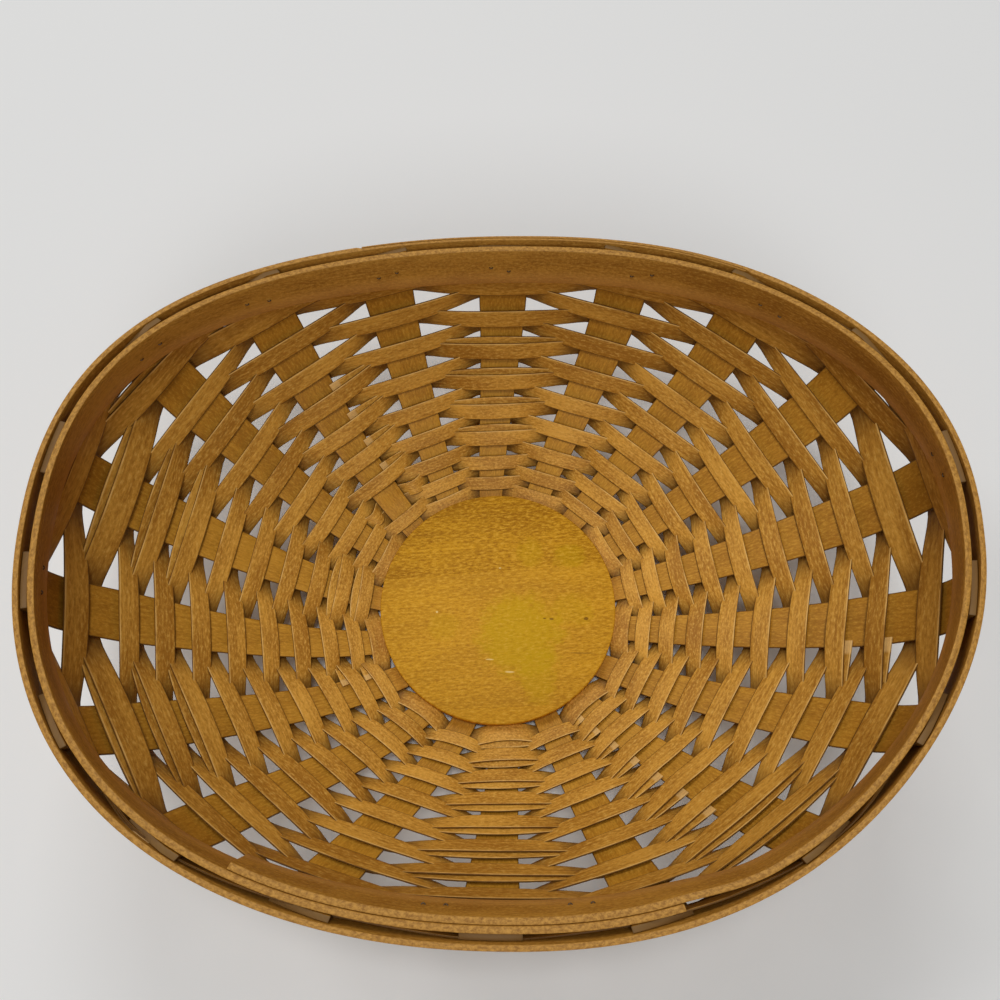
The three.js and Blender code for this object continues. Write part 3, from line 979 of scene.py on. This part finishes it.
board_under = WEAVE_PLANE + SPOKE_THICKNESS / 2 + BOARD_CLEARANCE
board_top = board_under + BOARD_THICKNESS
rebate_height = WEAVE_PLANE + WEAVE_OFFSET + WEAVER_THICKNESS / 2 + BOARD_CLEARANCE
turned_piece("base_board_disc", [
    (0, board_under),
    (BOARD_RADIUS - REBATE_WIDTH, board_under),
    (BOARD_RADIUS - REBATE_WIDTH, rebate_height),
    (BOARD_RADIUS, rebate_height),
    (BOARD_RADIUS, board_top - BOARD_EASE),
    (BOARD_RADIUS - 0.3 * BOARD_EASE, board_top - 0.3 * BOARD_EASE),
    (BOARD_RADIUS - BOARD_EASE, board_top),
    (0, board_top),
], 180, "board", board, "base_board")
turned_piece("foot_board_disc", [
    (0, 0),
    (FOOT_RADIUS - BOARD_EASE, 0),
    (FOOT_RADIUS, BOARD_EASE),
    (FOOT_RADIUS, FOOT_THICKNESS),
    (0, FOOT_THICKNESS),
], 150, "board", board, "foot_board")


# Floor, light and camera

def make_floor():
    bm = bmesh.new()
    bmesh.ops.create_grid(bm, x_segments=1, y_segments=1, size=3)
    floor = new_object("floor", bm)
    floor.data.materials.append(floor_paint())


def make_light(name, place, aim, size, power):
    lamp = bpy.data.lights.new(name, "AREA")
    lamp.shape = "RECTANGLE"
    lamp.size, lamp.size_y = size
    lamp.energy = power
    light = bpy.data.objects.new(name, lamp)
    light.location = place
    light.rotation_euler = (Vector(aim) - Vector(place)).to_track_quat("-Z", "Y").to_euler()
    bpy.context.scene.collection.objects.link(light)


# Camera, which looks down into the basket from the near side
CAMERA_PLACE = (1.385, -138.435, 535.99)
CAMERA_TILT = np.radians(20.776)
CAMERA_YAW = np.radians(0.411)
CAMERA_ROLL = np.radians(0.707)
SENSOR_WIDTH = 36


def make_camera():
    data = bpy.data.cameras.new("camera")
    data.sensor_width = SENSOR_WIDTH
    data.lens = SENSOR_WIDTH
    data.clip_start = 0.01
    camera = bpy.data.objects.new("camera", data)
    yaw = Matrix.Rotation(CAMERA_YAW, 4, "Z")
    tilt = Matrix.Rotation(CAMERA_TILT, 4, "X")
    roll = Matrix.Rotation(CAMERA_ROLL, 4, "Z")
    place = Matrix.Translation(Vector(CAMERA_PLACE) * MILLIMETRE)
    camera.matrix_world = place @ yaw @ tilt @ roll
    bpy.context.scene.collection.objects.link(camera)
    bpy.context.scene.camera = camera


def make_world(strength):
    world = bpy.data.worlds.new("studio")
    world.use_nodes = True
    background = world.node_tree.nodes["Background"]
    background.inputs["Color"].default_value = (1, 1, 1, 1)
    background.inputs["Strength"].default_value = strength
    bpy.context.scene.world = world


make_floor()
make_light("overhead", (0, 0, 4.5), (0, 0, 0.05), (1.2, 1.2), 60)
make_light("far window", (-0.3, 3.2, 3.2), (0, 0, 0.05), (1.6, 1.6), 42)
make_light("near window", (0.1, -3.2, 3.2), (0, 0, 0.05), (1.6, 1.6), 41)
make_light("left window", (-2.7, 1.5, 3.1), (0, 0, 0.05), (1.2, 1.2), 28)
make_world(0.12)
make_camera()
bpy.context.scene.view_settings.view_transform = "Standard"
